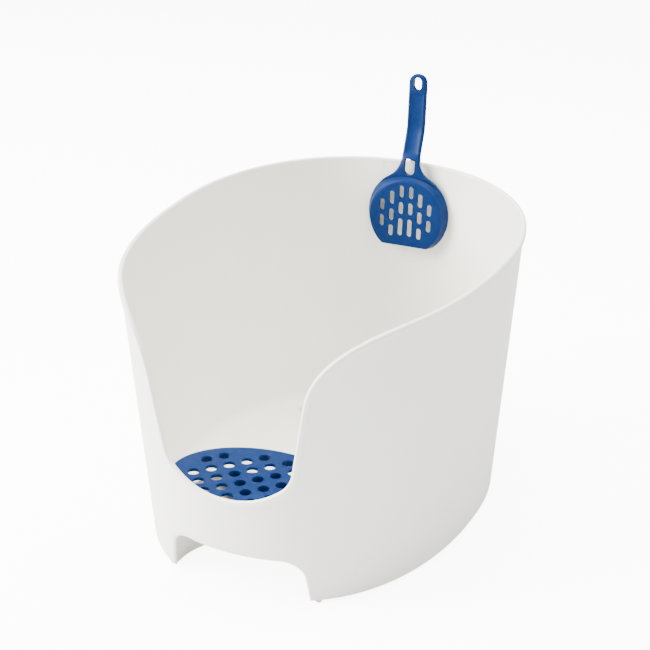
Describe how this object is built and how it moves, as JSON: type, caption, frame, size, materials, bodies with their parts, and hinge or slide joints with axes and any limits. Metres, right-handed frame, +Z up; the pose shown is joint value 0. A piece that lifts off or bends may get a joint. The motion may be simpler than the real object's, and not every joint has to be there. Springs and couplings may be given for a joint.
{
  "type": "cat litter box",
  "caption": "Open-top high-walled oval cat litter box with a low entry, a perforated step plate and a slotted scoop hung on the back rim.",
  "frame": {"origin": "on the floor, below the middle of the whole object's box", "axes": "+Z up, the entry faces -Y, the scoop hangs at +Y, +X is to the right seen from the front"},
  "size_m": [0.4164, 0.5566, 0.4518],
  "materials": {
    "tub_shell": "satin injection-moulded polypropylene, white",
    "blue_plastic": "satin injection-moulded polypropylene, blue",
    "scoop_plastic": "satin injection-moulded polypropylene, blue",
    "foot_rubber": "soft white rubber"
  },
  "bodies": {
    "tub": {"tub": "tub_shell", "foot_pad_front_left": "foot_rubber", "foot_pad_front_right": "foot_rubber", "foot_pad_rear_left": "foot_rubber", "foot_pad_rear_right": "foot_rubber"},
    "step_grate": {"step_grate": "blue_plastic"},
    "scoop": {"scoop": "scoop_plastic"}
  },
  "joints": [
    {"name": "grate_lift", "type": "slide", "parent": "tub", "child": "step_grate", "axis": [0, 0, 1], "range_m": [0, 0.1]},
    {"name": "scoop_lift", "type": "slide", "parent": "tub", "child": "scoop", "axis": [0, 0, 1], "range_m": [0, 0.13]}
  ]
}
